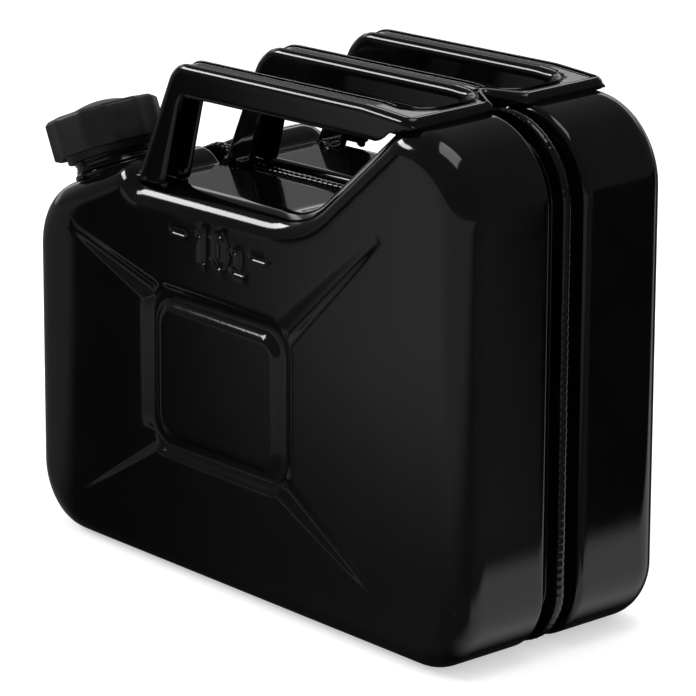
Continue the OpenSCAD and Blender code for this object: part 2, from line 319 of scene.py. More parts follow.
def channel_depth(points, shape):
    """Depth of the pressed channels at points of a big face."""
    deep = shape.channel_depth / MM
    soft = shape.channel_soft / MM
    mid, half = np.array(PAD_MID), np.array(PAD_HALF)
    out_of_pad = to_box(points, mid, half, PAD_R)
    into_ring = -to_box(points, mid, half + CHANNEL_W, PAD_R + 0.7 * CHANNEL_W)
    edge = np.minimum(out_of_pad, into_ring)
    found = smooth_most(smooth_least(edge / CHANNEL_SLOPE * deep, deep, soft), 0, soft)
    for along, across, length, t, half_w in along_arms(points):
        low = deep + (ARM_END_DEPTH - deep) * t
        edge = np.minimum(half_w - across, np.minimum(along + CHANNEL_SLOPE, (length - along) * 1.5 + 1))
        arm = smooth_most(smooth_least(edge / CHANNEL_SLOPE * deep, low, soft), 0, soft)
        found = smooth_most(found, arm, soft * 0.5)
    return np.maximum(found - 0.25 * soft, 0)


def near_channels(points, margin):
    """True for points close to the channels."""
    mid, half = np.array(PAD_MID), np.array(PAD_HALF)
    outer = to_box(points, mid, half + CHANNEL_W, PAD_R + CHANNEL_W)
    found = np.minimum(to_box(points, mid, half, PAD_R), -outer) > -margin
    for along, across, length, _, half_w in along_arms(points):
        found |= (across < half_w + margin) & (along > -margin) & (along < length + margin)
    return found


def figure_gap(points):
    """Signed distance to the strokes of the pressed figures, below zero within a stroke."""
    q = points - np.array([FIGURE_X, FIGURE_Z])
    w = STROKE / 2

    def stroke(a, b):
        a, b = np.array(a, float), np.array(b, float)
        t = np.clip(((q - a) @ (b - a)) / ((b - a) @ (b - a)), 0, 1)
        return np.linalg.norm(q - a - t[:, None] * (b - a), axis=1) - w

    lines = [
        ((-19.4, w), (-19.4, FIGURE_H - w)), ((-22.6, FIGURE_H - 4.6), (-19.4, FIGURE_H - w)),
        ((8.4, w + 0.4), (8.4, 13.2)), ((5.6, 12.2), (8.4, 13.2)), ((5.0, w + 0.4), (11.8, w + 0.4)),
        ((-44.4, 13), (-35.2, 13)), ((19.6, 12.4), (28.8, 12.4)),
    ]
    found = stroke(*lines[0])
    for line in lines[1:]:
        found = np.minimum(found, stroke(*line))
    nought = to_box(q, (-6.5, FIGURE_H / 2), (5.5 - w, FIGURE_H / 2 - w), 5.5 - w)
    return np.minimum(found, np.abs(nought) - w)


def sheet_waves(points, shape, seed):
    """Slow waves that a pressed sheet keeps, and the gentle roll towards the front of the can."""
    tall = shape.sheet_wave / MM
    long, high = WAVE_LENGTHS
    waves = np.array([noise.noise(Vector((p[0] / long, p[1] / high, seed))) for p in points])
    roll = np.maximum(shape.roll_start / MM - points[:, 0], 0) / ROLL_LENGTH
    return tall * (0.5 + 0.5 * waves) + shape.front_roll / MM * roll ** 2


def build_half(name, node, side, shape, figures):
    """One pressed half: round edges, seam groove and flange, and a big face with channels."""
    outline = Outline(CAN_CORNERS)
    section = open_path([
        (FACE_R, -FACE_Y, 0), (0, -FACE_Y, FACE_R - 0.01), (0, -GROOVE_HALF, LIP_R),
        (GROOVE_DEPTH, 1.5 - GROOVE_HALF, 2.5), (GROOVE_DEPTH, -SHEET, 1.2), (BEAD_H, -SHEET, 0),
    ])
    section = [s for i, s in enumerate(section) if i == 0 or np.linalg.norm(s - section[i - 1]) > 0.05]
    count = len(outline.loop(0))
    points = np.array([(q[0], s[1], q[1]) for s in section for q in outline.loop(s[0])])
    faces = flipped(band(len(section), count))
    loop = outline.loop(section[0][0])
    # Points of the flat field: coarse on plain sheet, fine at the channels and the figures
    flat = (loop.min(axis=0), loop.max(axis=0))
    coarse, fine = grid(*flat, COARSE_GRID), grid(*flat, FINE_GRID)
    coarse = coarse[~near_channels(coarse, 3.4)]
    fine = fine[near_channels(fine, 2.6)]
    extra = np.vstack([coarse, fine])
    if figures:
        tiny = grid(*FIGURE_BOX, FIGURE_GRID)
        tiny = tiny[np.abs(figure_gap(tiny)) < 1.3]
        extra = np.vstack([extra[figure_gap(extra) > 2.4], tiny])
    extra = extra[inside(extra, loop)]
    extra = extra[gap_to(extra, loop) > 1.0]
    depth = channel_depth(extra, shape)
    if figures:
        depth = depth + shape.figure_depth / MM * smooth_step(0.75, -0.75, figure_gap(extra))
    inner = np.array([(p[0], d - FACE_Y, p[1]) for p, d in zip(extra, depth)])
    faces += [tuple(v if v < count else v - count + len(points) for v in f) for f in fill(loop, extra)]
    points = np.vstack([points, inner])
    share = smooth_step(*WAVE_REACH, -points[:, 1])
    points[:, 1] += share * sheet_waves(points[:, [0, 2]], shape, WAVE_SEEDS[side])
    if side < 0:
        faces = cut_neck_hole(points, faces)
    else:
        points[:, 1] *= -1
        faces = flipped(faces)
    made = new_object(name, points, faces, "can", [node])
    return thicken(drop_loose(made), SHEET)


def cut_neck_hole(points, faces):
    """Leaves out the sheet's faces where the neck passes through it."""
    axis = np.array([-math.sin(TILT), 0, math.cos(TILT)])
    away = points - np.array(NECK_FOOT)
    up = away @ axis
    wide = np.linalg.norm(away - up[:, None] * axis, axis=1)
    in_hole = (wide < NECK_BORE + SPIGOT_WALL) & (np.abs(up) < 12)
    return [f for f in faces if sum(in_hole[v] for v in f) < 0.5 * len(f)]


def drop_loose(made):
    """Removes points that no face uses."""
    used = {v for f in made.data.polygons for v in f.vertices}
    if len(used) < len(made.data.vertices):
        keep = sorted(used)
        order = {v: i for i, v in enumerate(keep)}
        points = [made.data.vertices[v].co[:] for v in keep]
        faces = [[order[v] for v in f.vertices] for f in made.data.polygons]
        made.data.clear_geometry()
        made.data.from_pydata(points, [], faces)
        made.data.update()
        smooth_faces(made.data)
    return made


# Weld seam

def build_seam(shape):
    """Weld bead with ripples, over the edges of both flanges."""
    outline = Outline(CAN_CORNERS, 2.0, 1.4)
    # One side of the bead's section: depth below its crest, and share of its width
    slope = [(0.35, 0.3), (1.1, 0.47), (2.1, 0.5), (BEAD_H, 0.42)]
    profile = [(inset, -y) for inset, y in reversed(slope)] + [(0.0, 0.0)] + slope
    ring = {inset: outline.loop(inset) for inset, y in profile}
    centre = ring[0.0]
    steps = np.linalg.norm(np.diff(np.vstack([centre, centre[:1]]), axis=0), axis=1)
    along = np.concatenate([[0], np.cumsum(steps)[:-1]])
    length = steps.sum()
    pitch = length / round(length / (shape.ripple_pitch / MM))
    tall = shape.ripple_height / MM
    turns = 2 * math.pi * along / length
    loose = np.array([noise.noise(Vector((math.cos(t) * 9, math.sin(t) * 9, 2.2))) for t in turns])
    ripple = 0.5 - 0.5 * np.cos(2 * math.pi * (along / pitch + 0.25 * loose))
    inward = unit_rows(ring[1.1] - ring[0.0])
    points = []
    for inset, y in profile:
        crest = 1 - inset / BEAD_H
        sink = (tall * ripple + 0.25 * np.maximum(loose, 0)) * crest
        base = ring[inset] + inward * sink[:, None]
        sway = 0.45 * loose + 0.2 * np.cos(2 * math.pi * along / pitch) * (1 if y > 0 else -1)
        points += [(b[0], y * BEAD_W + s, b[1]) for b, s in zip(base, sway)]
    count = len(centre)
    faces = band(len(profile), count)
    rows = len(profile)
    faces += [((rows - 1) * count + i, (rows - 1) * count + (i + 1) % count, (i + 1) % count, i)
              for i in range(count)]
    return new_object("weld_seam", points, faces, "can", ["seam_weld"])


def unit_rows(rows):
    """Each row's direction, as a row of length one."""
    return rows / np.maximum(np.linalg.norm(rows, axis=1), 1e-9)[:, None]


# Handle

class BarLine:
    """Side view of one bar, from the plate's rear end forwards and down the leg."""

    def __init__(self, back, bend):
        front = BAR_FRONT + back
        foot = (front - (BAR_Z - LEG_LOW) / math.tan(LEG_SLOPE), LEG_LOW, 0)
        corners = [(PLATE_END, PLATE_Z, 0), (*CREST, CREST_R), (front, BAR_Z, bend), foot]
        self.line = np.array(open_path(corners, 3.0, 1.5))
        gaps = np.linalg.norm(np.diff(self.line, axis=0), axis=1)
        self.reach = np.concatenate([[0], np.cumsum(gaps)])
        self.back = back

    def at(self, s):
        return np.array([np.interp(s, self.reach, self.line[:, axis]) for axis in (0, 1)])

    def outward(self, s):
        ahead = unit(self.at(s + 1.2) - self.at(max(s - 1.2, 0)))
        return np.array([ahead[1], -ahead[0]])


def grip_loop():
    """Side view of the space for the hand, which ends the flanges from below."""
    tan = math.tan(LEG_SLOPE)
    end, ceiling = PLATE_END - SHARP, CREST[1] - GRIP_UNDER
    return Outline([
        (BAR_FRONT - (BAR_Z - DECK) / tan + GRIP_BACK_LOW, DECK, SHARP), (end, DECK, SHARP),
        (end, ceiling, SHARP), (CREST[0], ceiling, CREST_R),
        (BAR_FRONT - GRIP_UNDER / tan + GRIP_BACK_HIGH, BAR_Z - GRIP_UNDER, GRIP_R),
    ]).loop(0)


def line_at(lines, y):
    """Side view that holds at a place across the can."""
    return lines["near" if y < -BAR_PITCH / 2 else "far" if y > BAR_PITCH / 2 else "middle"]


def find_feet(lines, body):
    """How far along its line each bar's foot ends."""
    feet = {}
    for key, line in lines.items():
        reach = np.arange(FOOT_SEARCH, line.reach[-1], 0.25)
        below = inside(np.array([line.at(s) for s in reach]), body)
        feet[key] = float(reach[np.argmax(below)]) + FOOT_SINK
    return feet


def edge_depth(s, line, body, grip):
    """How far the turned-down edge reaches below the top of the sheet."""
    steps = np.arange(*EDGE_TRIES)
    tried = line.at(s) - steps[:, None] * line.outward(s)
    hit = inside(tried, body) | inside(tried - [line.back, 0], grip)
    return float(steps[np.argmax(hit)]) if hit.any() else EDGE_MOST


def comb_plan(feet):
    """The sheet laid flat: a plate with a notch, and three bars up to their feet."""
    half_w, edge = BAR_W / 2, BAR_PITCH + BAR_W / 2
    slot = BAR_PITCH - half_w
    return Outline([
        (0, -edge, 6), (feet["near"], -edge, 0.4), (feet["near"], -slot, 0.4), (SLOT_END, -slot, SLOT_R),
        (SLOT_END, -half_w, SLOT_R), (feet["middle"], -half_w, 0.4), (feet["middle"], half_w, 0.4),
        (SLOT_END, half_w, SLOT_R), (SLOT_END, slot, SLOT_R), (feet["far"], slot, 0.4),
        (feet["far"], edge, 0.4), (0, edge, 6), (0, NOTCH_HALF, 3), (NOTCH_L, 0, 1.5), (0, -NOTCH_HALF, 3),
    ], 12, 2.6)


def build_handle(shape):
    """One sheet: three bars with turned-down edges, their legs, and the plate on the hump."""
    body, grip = Outline(CAN_CORNERS).loop(0), grip_loop()
    lines = {key: BarLine(*BARS[key]) for key in BARS}
    feet = find_feet(lines, body)
    comb = comb_plan(feet)
    radius = shape.bar_edge / MM
    rim = comb.loop(0)
    count = len(rim)
    drop = np.array([edge_depth(max(p[0], 0.6), line_at(lines, p[1]), body, grip) for p in rim])
    drop = np.array([drop[[(i + k) % count for k in (-1, 0, 1)]].mean() for i in range(count)])
    # Each row is a plan and its depths: up the turned-down edge, round its bend, then the top
    rows = []
    for share in (1.0, 0.75, 0.5, 0.25):
        rows.append((rim, np.maximum(radius + (drop - radius) * share, np.minimum(radius, drop))))
    for k in range(7):
        a = math.pi / 2 * (1 - k / 6)
        inset, down = radius * (1 - math.sin(a)), radius * (1 - math.cos(a))
        rows.append((comb.loop(inset), np.minimum(down, down / radius * drop)))
    top = rows[-1][0]
    extra = grid(top.min(axis=0), top.max(axis=0), 2.2)
    extra = extra[inside(extra, top)]
    extra = extra[gap_to(extra, top) > 1.1]
    rows.append((extra, np.zeros(len(extra))))
    points = []
    for plan, down in rows:
        for (s, y), d in zip(plan, down):
            line = line_at(lines, y)
            at = line.at(s) - line.outward(s) * d
            points.append((at[0], y, at[1]))
    # The edge's faces look inward here, so their thickness stands outside the named sizes
    faces = flipped(band(len(rows) - 1, count))
    start = (len(rows) - 2) * count
    faces += [tuple(v + start for v in f) for f in fill(top, extra)]
    made = new_object("carry_handle", points, faces, "can", ["handle"])
    face_outwards(made, ABOVE_HANDLE)
    return thicken(made, HANDLE_SHEET), feet, lines


def face_outwards(made, towards):
    """Turns all faces over if, taken together, they look away from a point."""
    mesh = made.data
    score = 0.0
    for f in mesh.polygons:
        score += (Vector(towards) * MM - f.center).dot(f.normal) * f.area
    if score < 0:
        mesh.flip_normals()


def lumps(name, places):
    """Small weld lumps: flattened balls with uneven surfaces, as one piece."""
    points, faces = [], []
    around, rings = 20, 10
    for n, (centre, size) in enumerate(places):
        first = len(points)
        for j in range(rings + 1):
            t = math.pi * j / rings
            for i in range(around):
                a = 2 * math.pi * i / around
                way = Vector((math.sin(t) * math.cos(a), math.sin(t) * math.sin(a), math.cos(t)))
                r = 1 + 0.16 * noise.noise(way * 1.7 + Vector((n * 3.1, 0, 0)))
                points.append([centre[k] + size[k] * way[k] * r for k in range(3)])
        faces += [tuple(first + v for v in f) for f in flipped(band(rings + 1, around))]
    made = new_object(name, points, faces, "can", ())
    merge_near(made)
    return made


def merge_near(made, gap=1e-6):
    """Joins points that lie in one place, and drops faces that have no area."""
    work = bmesh.new()
    work.from_mesh(made.data)
    bmesh.ops.remove_doubles(work, verts=work.verts, dist=gap)
    bmesh.ops.dissolve_degenerate(work, edges=work.edges, dist=gap)
    bmesh.ops.recalc_face_normals(work, faces=work.faces)
    work.to_mesh(made.data)
    work.free()
    smooth_faces(made.data)


def build_foot_welds(feet, lines):
    """Lumps in front of and behind each leg's foot, and at the plate's two rear corners."""
    places = []
    for key, y in (("near", -BAR_PITCH), ("middle", 0), ("far", BAR_PITCH)):
        at = lines[key].at(feet[key])
        for side in (-1, 1):
            places.append(((at[0] + 1.5, y + side * (BAR_W / 2 - 1.2), at[1] - 0.4), (3.4, 2.2, 2.0)))
            places.append(((at[0] + 20.5, y + side * (BAR_W / 2 - 0.8), DECK + 1.4), (3.0, 1.6, 1.8)))
    for side in (-1, 1):
        places.append(((PLATE_END - 3, side * (BAR_PITCH + BAR_W / 2 - 1.6), HUMP + 0.9), (4.2, 1.5, 1.4)))
    return lumps("handle_welds", places)


# Neck and cap

def neck_matrix():
    """Place of the neck's foot, with its axis as z."""
    return Matrix.Translation(Vector(NECK_FOOT)) @ Matrix.Rotation(-TILT, 4, "Y")


def turned(rows, around, radius):
    """Ring of points for each (r, z) of a profile on the neck's axis, and the faces between them."""
    place = neck_matrix()
    points = []
    for k, (r, z) in enumerate(rows):
        for i in range(around):
            a = 2 * math.pi * i / around
            wide = radius(k, r, z, a)
            points.append(place @ Vector((wide * math.cos(a), wide * math.sin(a), z)))
    return points, band(len(rows), around)


def build_neck(shape):
    """Threaded tube with a rolled rim, and a collar brazed to the shoulder."""
    pitch, tall = shape.thread_pitch / MM, shape.thread_height / MM
    rows = [(NECK_BORE, -2.4), (NECK_BORE, NECK_H - 1.2), (NECK_BORE + 0.5, NECK_H - 0.4),
            (NECK_BORE + 1.4, NECK_H), (NECK_R - 1.4, NECK_H), (NECK_R - 0.5, NECK_H - 0.4)]
    thread_top = NECK_H - 1.2
    first_turn = len(rows)
    rows += [(NECK_R, z) for z in np.arange(thread_top, THREAD_LOW, -THREAD_STEP)]
    last_turn = len(rows)
    rows += [(NECK_R - 0.4, 4.6), (NECK_R - 0.3, 3.4), (NECK_R + 0.15, 2.5), (NECK_R + 0.9, 2.0),
             (NECK_R + 1.2, 1.3), (NECK_R + 1.2, -1.0), (NECK_BORE + SPIGOT_WALL, -1.2),
             (NECK_BORE + SPIGOT_WALL, -2.4), (NECK_BORE, -2.4)]

    def wide(k, r, z, a):
        if not first_turn <= k < last_turn:
            return r
        turn = (z / pitch - a / (2 * math.pi)) % 1
        ridge = smooth_step(0.5, 0.28, abs(turn - 0.5))
        fade = min(1.0, (thread_top - z) / 2.0, (z - THREAD_LOW) / 2.0)
        return r - 0.3 - tall * (1 - ridge * max(fade, 0))

    points, faces = turned(rows, 144, wide)
    made = new_object("threaded_neck", points, flipped(faces), "can", ["filler_neck"])
    merge_near(made)
    return made


def build_cap(shape):
    """Moulded cap: twelve flats with soft corners, chamfered rim, low dome and an inner sleeve."""
    flat_r = CAP_R * math.cos(math.pi / CAP_FLATS)
    soft = shape.corner_soft / MM
    low, top = CAP_TOP - CAP_H, CAP_TOP
    within = CAP_R - CAP_WALL
    grip = [
        (within - 1, CAP_UNDER - 0.2), (within - 1, low + 0.6), (within - 0.4, low), (CAP_R - 0.8, low),
        (CAP_R - 0.25, low + 0.25), (CAP_R, low + 0.9), (CAP_R, low + 7), (CAP_R, top - 8),
        (CAP_R, top - 2.4), (CAP_R - 0.25, top - 1.7), (CAP_R - 1.9, top - 0.35), (CAP_R - 2.6, top - 0.05),
    ]
    rows = [(0.01, CAP_UNDER), (SLEEVE_IN, CAP_UNDER), (SLEEVE_IN, low - SLEEVE_OUT + 0.5),
            (SLEEVE_IN + 0.5, low - SLEEVE_OUT), (SLEEVE_R - 0.5, low - SLEEVE_OUT),
            (SLEEVE_R, low - SLEEVE_OUT + 0.5), (SLEEVE_R, CAP_UNDER - 0.2)]
    first, last = len(rows) + 3, len(rows) + len(grip)
    rows += grip
    rim = flat_r - 4.2
    rows += [(rim, top), (rim - 0.5, top), (rim - 1.0, top - 0.45), (rim - 2.6, top - 0.6), (19.4, top - 0.6),
             (18.6, top - 0.5), (18.0, top), (17.6, top + 0.5)]
    base, rise = 17.4, 3.6
    ball = (base * base + rise * rise) / (2 * rise)
    for k in range(1, 12):
        r = base * math.cos(math.pi / 2 * k / 12)
        rows.append((r, top + 0.4 + math.sqrt(ball * ball - r * r) - (ball - rise)))
    rows.append((0.01, top + 0.4 + rise))

    def wide(k, r, z, a):
        if not first <= k < last:
            return r
        step = 2 * math.pi / CAP_FLATS
        corner = math.cos(step / 2) / math.cos((a % step) - step / 2)
        inner = r - CAP_R
        cut = CAP_R - soft
        at = min(CAP_R * corner, cut + (CAP_R * corner - cut) * 0.25)
        hollow = 0.35 * math.cos(math.pi * ((a % step) / step - 0.5)) ** 2
        return at - hollow + inner

    points, faces = turned(rows, 288, wide)
    made = new_object("screw_cap", points, faces, "cap", ["cap"])
    merge_near(made, 1e-5)
    return made


# Finishes

class Term:
    """A shader socket that can stand in sums and products."""

    def __init__(self, shade, socket):
        self.shade, self.socket = shade, socket

    def maths(self, operation, first, second):
        made = self.shade.node("ShaderNodeMath", {"operation": operation}, {0: first, 1: second})
        return Term(self.shade, made.outputs[0])

    def __add__(self, other):
        return self.maths("ADD", self, other)

    def __radd__(self, other):
        return self.maths("ADD", other, self)

    def __sub__(self, other):
        return self.maths("SUBTRACT", self, other)

    def __rsub__(self, other):
        return self.maths("SUBTRACT", other, self)

    def __mul__(self, other):
        return self.maths("MULTIPLY", self, other)

    def __rmul__(self, other):
        return self.maths("MULTIPLY", other, self)


class Shade:
    """The node tree of one finish."""

    def __init__(self, tree):
        self.tree = tree
        tree.nodes.clear()

    def node(self, kind, settings=None, sockets=None):
        made = self.tree.nodes.new(kind)
        for key, value in (settings or {}).items():
            setattr(made, key, value)
        for key, value in (sockets or {}).items():
            socket = made.inputs[key]
            if isinstance(value, Term):
                self.tree.links.new(value.socket, socket)
            else:
                socket.default_value = value
        return made

    def term(self, made, key=0):
        return Term(self, made.outputs[key])

    def place(self):
        return self.term(self.node("ShaderNodeTexCoord"), "Object")

    def noise(self, place, scale, detail=2.0, rough=0.5):
        made = self.node("ShaderNodeTexNoise", None, {
            "Vector": place, "Scale": scale, "Detail": detail, "Roughness": rough})
        return self.term(made, "Fac")

    def steps(self, value, low, high):
        made = self.node("ShaderNodeMapRange", {"interpolation_type": "SMOOTHSTEP"}, {
            "Value": value, "From Min": low, "From Max": high})
        return self.term(made, "Result")

    def mix(self, factor, first, second):
        made = self.node("ShaderNodeMix", {"data_type": "RGBA"}, {0: factor, 6: first, 7: second})
        return self.term(made, 2)

    def bump(self, height):
        made = self.node("ShaderNodeBump", None, {"Height": height, "Distance": 1.0, "Strength": 1.0})
        return self.term(made, "Normal")


def colour4(value, factor=1.0):
    return (value[0] * factor, value[1] * factor, value[2] * factor, 1.0)


def new_finish(name):
    made = bpy.data.materials.new(name)
    made.use_nodes = True
    return made, Shade(made.node_tree)


def close_finish(shade, **sockets):
    main = shade.node("ShaderNodeBsdfPrincipled", None, {k.replace("_", " "): v for k, v in sockets.items()})
    end = shade.node("ShaderNodeOutputMaterial")
    shade.tree.links.new(main.outputs[0], end.inputs[0])


def enamel(name, colour, wave=0.00012, peel=0.000012, dust=1.0):
    """Gloss black enamel on sheet steel, with a faint orange peel, slow waves, smears and dust."""
    made, shade = new_finish(name)
    place = shade.place()
    slow = shade.noise(place, 16.0, 1.0)
    peel_noise = shade.noise(place, 420.0, 2.0)
    smear = shade.noise(place, 38.0, 5.0, 0.62)
    grain = shade.noise(place, 900.0, 2.0, 0.6)
    speck = shade.steps(grain, 0.70, 0.78) * shade.steps(smear, 0.46, 0.62) * dust
    tone = shade.mix(shade.steps(smear, 0.3, 0.75), colour4(colour, 0.85), colour4(colour, 1.25))
    tone = shade.mix(speck * 0.35, tone, (0.12, 0.12, 0.12, 1))
    height = slow * wave + peel_noise * peel
    rough = 0.05 + smear * 0.07 + speck * 0.3
    close_finish(shade, Base_Color=tone, Roughness=rough, Normal=shade.bump(height), IOR=1.45)
    return made


def cap_plastic(name, colour):
    """Satin plastic with a fine moulded grain and a few rubbed places."""
    made, shade = new_finish(name)
    place = shade.place()
    grain = shade.noise(place, 1500.0, 3.0, 0.6)
    cloud = shade.noise(place, 60.0, 4.0, 0.6)
    tone = shade.mix(shade.steps(cloud, 0.35, 0.75), colour4(colour, 0.85), colour4(colour, 1.3))
    height = grain * 0.00003 + cloud * 0.00005
    close_finish(shade, Base_Color=tone, Roughness=0.38 + cloud * 0.16, Normal=shade.bump(height), IOR=1.46)
    return made


def rubber(name, colour):
    """Matt black rubber with a fine grain."""
    made, shade = new_finish(name)
    place = shade.place()
    grain = shade.noise(place, 1200.0, 2.0)
    tone = shade.mix(grain, colour4(colour, 0.7), colour4(colour, 1.3))
    close_finish(shade, Base_Color=tone, Roughness=0.75 + grain * 0.1, Normal=shade.bump(grain * 0.00005))
    return made


# Stage

CAMERA_PLACE = (1.8393425, -1.6203572, 0.8912061)
CAMERA_RIGHT = (0.6618468, 0.7496304, 0.0036106)
CAMERA_UP = (-0.2262832, 0.1951885, 0.9543047)
CAMERA_BACK = (0.7146711, -0.6324205, 0.2988136)
LENS = 252.83
FLOOR_REACH = 12000
# Name, place, aim, size and radiance
LAMPS = (
    ("soft_left", (-1.15, -0.72, 0.95), (0, 0, 0.15), (0.85, 0.26), 14),
    ("soft_top", (0.3, 0.1, 2.0), (0, 0, 0.1), (1.2, 1.0), 3),
)
# Where the floor lies that a face mirrors, used to place the painted light on the floor: height up the near
# face for each metre outward, metres along the floor for each metre of that height, and metres across for
# each metre behind the rear
UP_PER_OUT, ALONG_PER_UP, REAR_SLOPE = -0.472, 2.39, 0.887


def area_lamp(name, place, aim, size, radiance):
    data = bpy.data.lights.new(name, "AREA")
    data.shape = "RECTANGLE"
    data.size, data.size_y = size
    data.energy = radiance * math.pi * size[0] * size[1]
    made = bpy.data.objects.new(name, data)
    made.location = place
    made.rotation_euler = (Vector(aim) - Vector(place)).to_track_quat("-Z", "Y").to_euler()
    bpy.context.scene.collection.objects.link(made)
    return made


def floor_finish(name, look):
    """Pale floor that keeps the object's shadow and looks white to the camera; to glossy rays it shows only
    painted light and shade, a dim floor with painted pools of light where the can's faces mirror it.
    """
    made, shade = new_finish(name)
    xyz = shade.node("ShaderNodeSeparateXYZ", None, {0: shade.place()})
    x, y = shade.term(xyz, "X"), shade.term(xyz, "Y")

    # Painted light for the near face to mirror, in front of it: brighter to the rear and farther out
    out = (y + 0.071) * UP_PER_OUT
    front = shade.steps(x + out * ALONG_PER_UP, -0.13, 0.17) * (0.22 + 0.78 * shade.steps(out, 0.03, 0.19))
    front = front * shade.steps(out, -0.005, 0.01)
    # Painted light for the rear side to mirror, behind the rear: a bright strip close by, and a faint even
    # light on its near side
    side = y - REAR_SLOPE * (x - 0.172)
    painted_strip = shade.steps(x, 0.305, 0.275) * shade.steps(x, 0.16, 0.18)
    rear = painted_strip * 0.85 + shade.steps(side, 0.04, -0.03) * shade.steps(x, 0.27, 0.33) * 0.12
    rear = rear * shade.steps(out, 0.01, -0.01)
    # Painted light off the front end, for its rounded edges to mirror
    left = shade.steps((y + 0.071) - 0.74 * (x + 0.135), 0.0, 0.03) * shade.steps(x, -0.10, -0.17)
    # Painted floor light: dim painted shade everywhere, plus the painted pools above
    painted_floor_light = 0.015 + front * 0.40 + rear + left * 0.16
    path = shade.node("ShaderNodeLightPath")
    camera, glossy = shade.term(path, "Is Camera Ray"), shade.term(path, "Is Glossy Ray")
    lit = shade.node("ShaderNodeBsdfDiffuse", None, {"Color": colour4(look.floor_colour)})
    strength = camera * look.floor_lift + glossy * painted_floor_light
    own = shade.node("ShaderNodeEmission", None, {"Color": (1, 1, 1, 1), "Strength": strength})
    both = shade.node("ShaderNodeAddShader")
    shade.tree.links.new(lit.outputs[0], both.inputs[0])
    shade.tree.links.new(own.outputs[0], both.inputs[1])
    # Glossy rays see only the painted floor light, not the lamps' light and shadow
    plain = shade.node("ShaderNodeMixShader", None, {0: glossy})
    shade.tree.links.new(both.outputs[0], plain.inputs[1])
    shade.tree.links.new(own.outputs[0], plain.inputs[2])
    end = shade.node("ShaderNodeOutputMaterial")
    shade.tree.links.new(plain.outputs[0], end.inputs[0])
    return made


def world_light(look):
    """Studio air, in which gloss sees a backdrop and one panel."""
    world = bpy.data.worlds.new("studio_air")
    bpy.context.scene.world = world
    world.use_nodes = True
    shade = Shade(world.node_tree)
    way = shade.term(shade.node("ShaderNodeTexCoord"), "Generated")
    xyz = shade.node("ShaderNodeSeparateXYZ", None, {0: way})
    x, y, z = (shade.term(xyz, axis) for axis in "XYZ")
    path = shade.node("ShaderNodeLightPath")
    camera, glossy = shade.term(path, "Is Camera Ray"), shade.term(path, "Is Glossy Ray")
    # Behind and to the left: white backdrop, a dim gap, then a bright panel; dim elsewhere
    height = 0.88 - shade.steps(z, 0.05, 0.16) * 0.75 + shade.steps(z, 0.255, 0.30) * 1.45
    height = height - shade.steps(z, 0.36, 0.46) * 1.55
    seen = 0.12 + height * shade.steps(x, 0.1, -0.3) * shade.steps(y, -0.2, 0.1)
    rest = 1.0 - camera - glossy
    strength = camera + glossy * seen + rest * look.air_level
    sky = shade.node("ShaderNodeBackground", None, {"Color": (1, 1, 1, 1), "Strength": strength})
    end = shade.node("ShaderNodeOutputWorld")
    shade.tree.links.new(sky.outputs[0], end.inputs[0])


# Sizes and colours that a user would change

def length(name, text, value):
    return bpy.props.FloatProperty(name=name, description=text, default=value, subtype="DISTANCE",
                                   unit="LENGTH", precision=5)


def tint(name, text, value):
    return bpy.props.FloatVectorProperty(name=name, description=text, default=value, subtype="COLOR", size=3,
                                         min=0.0, max=1.0)


class FuelCanBody(bpy.types.PropertyGroup):
    """Shape of the pressed halves."""
    channel_depth: length("Channel depth", "Depth of the channels in a big face", 0.0036)
    channel_soft: length("Channel softness", "How softly a channel's edges are rounded", 0.0010)
    figure_depth: length("Figure depth", "Depth of the pressed figures", 0.0010)
    sheet_wave: length("Sheet waves", "Height of the slow waves that a pressed sheet keeps", 0.00018)
    front_roll: length("Front roll", "How far a big face falls back towards the front", 0.0014)
    roll_start: length("Roll start", "Where that roll starts, along the can", -0.125)


class FuelCanFittings(bpy.types.PropertyGroup):
    """Shape of the seam, the handle, the neck and the cap."""
    ripple_pitch: length("Weld ripple pitch", "Distance between two ripples of the weld bead", 0.0042)
    ripple_height: length("Weld ripple height", "Height of the weld bead's ripples", 0.00035)
    bar_edge: length("Bar edge radius", "Radius of the handle's turned-down edges", 0.0035)
    thread_pitch: length("Thread pitch", "Distance between two turns of the neck's thread", 0.004)
    thread_height: length("Thread height", "Height of the thread's turns", 0.0007)
    corner_soft: length("Cap corner softness", "How far the cap's corners are taken back", 0.00035)


class FuelCanFinish(bpy.types.PropertyGroup):
    """Colours of the can and of the stage."""
    enamel_colour: tint("Enamel", "Colour of the enamel on the can", (0.0016, 0.0016, 0.0018))
    cap_colour: tint("Cap", "Colour of the cap's plastic", (0.007, 0.007, 0.0074))
    rubber_colour: tint("Rubber", "Colour of the gasket", (0.02, 0.02, 0.02))
    floor_colour: tint("Floor", "Colour of the floor in plain light", (0.8, 0.8, 0.8))
    floor_lift: bpy.props.FloatProperty(
        name="Floor lift", description="Light that the camera sees on the floor besides the lamps' light",
        default=0.5)
    air_level: bpy.props.FloatProperty(
        name="Air level", description="Strength of the soft light from all round", default=0.75)


# Operators

def body_shape():
    return bpy.context.scene.fuel_can_body


def fittings():
    return bpy.context.scene.fuel_can_fittings


def finish_look():
    return bpy.context.scene.fuel_can_finish


def paint(made, finish):
    made.data.materials.clear()
    made.data.materials.append(finish)


class FUELCAN_OT_halves(bpy.types.Operator):
    """Builds both pressed halves and enamels them"""
    bl_idname = "fuel_can.halves"
    bl_label = "Pressed halves"

    def execute(self, context):
        finish = enamel("gloss_enamel", finish_look().enamel_colour)
        paint(build_half("near_half", "near_shell", -1, body_shape(), True), finish)
        paint(build_half("far_half", "far_shell", 1, body_shape(), False), finish)
        return {"FINISHED"}


class FUELCAN_OT_seam(bpy.types.Operator):
    """Builds the weld bead in the seam groove"""
    bl_idname = "fuel_can.seam"
    bl_label = "Weld seam"

    def execute(self, context):
        finish = enamel("seam_enamel", finish_look().enamel_colour, 0.0002, 0.00005, 0.6)
        paint(build_seam(fittings()), finish)
        return {"FINISHED"}


